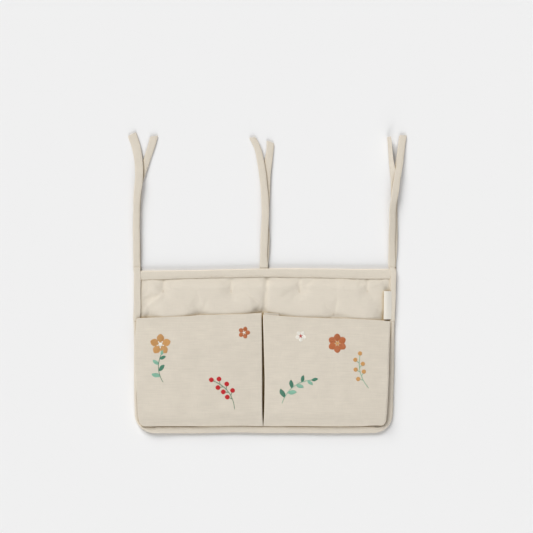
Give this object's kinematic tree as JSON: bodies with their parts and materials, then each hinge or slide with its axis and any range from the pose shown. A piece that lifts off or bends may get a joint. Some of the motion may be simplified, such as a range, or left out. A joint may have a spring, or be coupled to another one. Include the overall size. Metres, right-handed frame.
{
  "type": "bedside caddy",
  "caption": "Quilted cloth bedside caddy with side-by-side gusseted pockets and pairs of tie tapes along its top edge.",
  "frame": {"origin": "middle of the flat back of the lining, at the centre of the panel's outline", "axes": "+Z out of the back through the pocket faces, +Y towards the ties (up when it hangs), +X to the right seen from the front"},
  "size_m": [0.474, 0.5128, 0.0194],
  "materials": {
    "canvas": "natural cotton canvas, plain weave",
    "tape": "folded and stitched cotton tape",
    "wadding": "soft polyester wadding",
    "label": "cream satin ribbon, bare"
  },
  "bodies": {
    "panel": {"lining_panel": "canvas", "wadding": "wadding", "face_panel": "canvas", "top_band": "tape", "edge_binding": "tape", "side_label": "label", "left_pocket_outer_gusset": "canvas", "left_pocket_inner_gusset": "canvas", "right_pocket_outer_gusset": "canvas", "right_pocket_inner_gusset": "canvas"},
    "left_pocket": {"left_pocket_front": "canvas"},
    "right_pocket": {"right_pocket_front": "canvas"},
    "left_front_tape": {"left_tie_front": "tape"},
    "left_back_tape": {"left_tie_back": "tape"},
    "centre_front_tape": {"centre_tie_front": "tape"},
    "centre_back_tape": {"centre_tie_back": "tape"},
    "right_front_tape": {"right_tie_front": "tape"},
    "right_back_tape": {"right_tie_back": "tape"}
  },
  "joints": [
    {"name": "left_pocket_open", "type": "hinge", "parent": "panel", "child": "left_pocket", "pos_m": [-0.1, -0.128, 0.0056], "axis": [1, 0, 0], "range_deg": [0, 12], "deforming": ["left_pocket_outer_gusset", "left_pocket_inner_gusset"]},
    {"name": "right_pocket_open", "type": "hinge", "parent": "panel", "child": "right_pocket", "pos_m": [0.1, -0.128, 0.0056], "axis": [1, 0, 0], "range_deg": [0, 12], "deforming": ["right_pocket_outer_gusset", "right_pocket_inner_gusset"]},
    {"name": "left_front_tie_swing", "type": "hinge", "parent": "panel", "child": "left_front_tape", "pos_m": [-0.2185, 0.14198, 0.00365], "axis": [1, 0, 0], "range_deg": [0, 120]},
    {"name": "left_back_tie_swing", "type": "hinge", "parent": "panel", "child": "left_back_tape", "pos_m": [-0.2182, 0.14198, 0.00175], "axis": [1, 0, 0], "range_deg": [-120, 0]},
    {"name": "centre_front_tie_swing", "type": "hinge", "parent": "panel", "child": "centre_front_tape", "pos_m": [-0.0024, 0.14198, 0.00365], "axis": [1, 0, 0], "range_deg": [0, 120]},
    {"name": "centre_back_tie_swing", "type": "hinge", "parent": "panel", "child": "centre_back_tape", "pos_m": [-0.0009, 0.14198, 0.00175], "axis": [1, 0, 0], "range_deg": [-120, 0]},
    {"name": "right_front_tie_swing", "type": "hinge", "parent": "panel", "child": "right_front_tape", "pos_m": [0.2158, 0.14198, 0.00365], "axis": [1, 0, 0], "range_deg": [0, 120]},
    {"name": "right_back_tie_swing", "type": "hinge", "parent": "panel", "child": "right_back_tape", "pos_m": [0.217, 0.14198, 0.00175], "axis": [1, 0, 0], "range_deg": [-120, 0]}
  ]
}
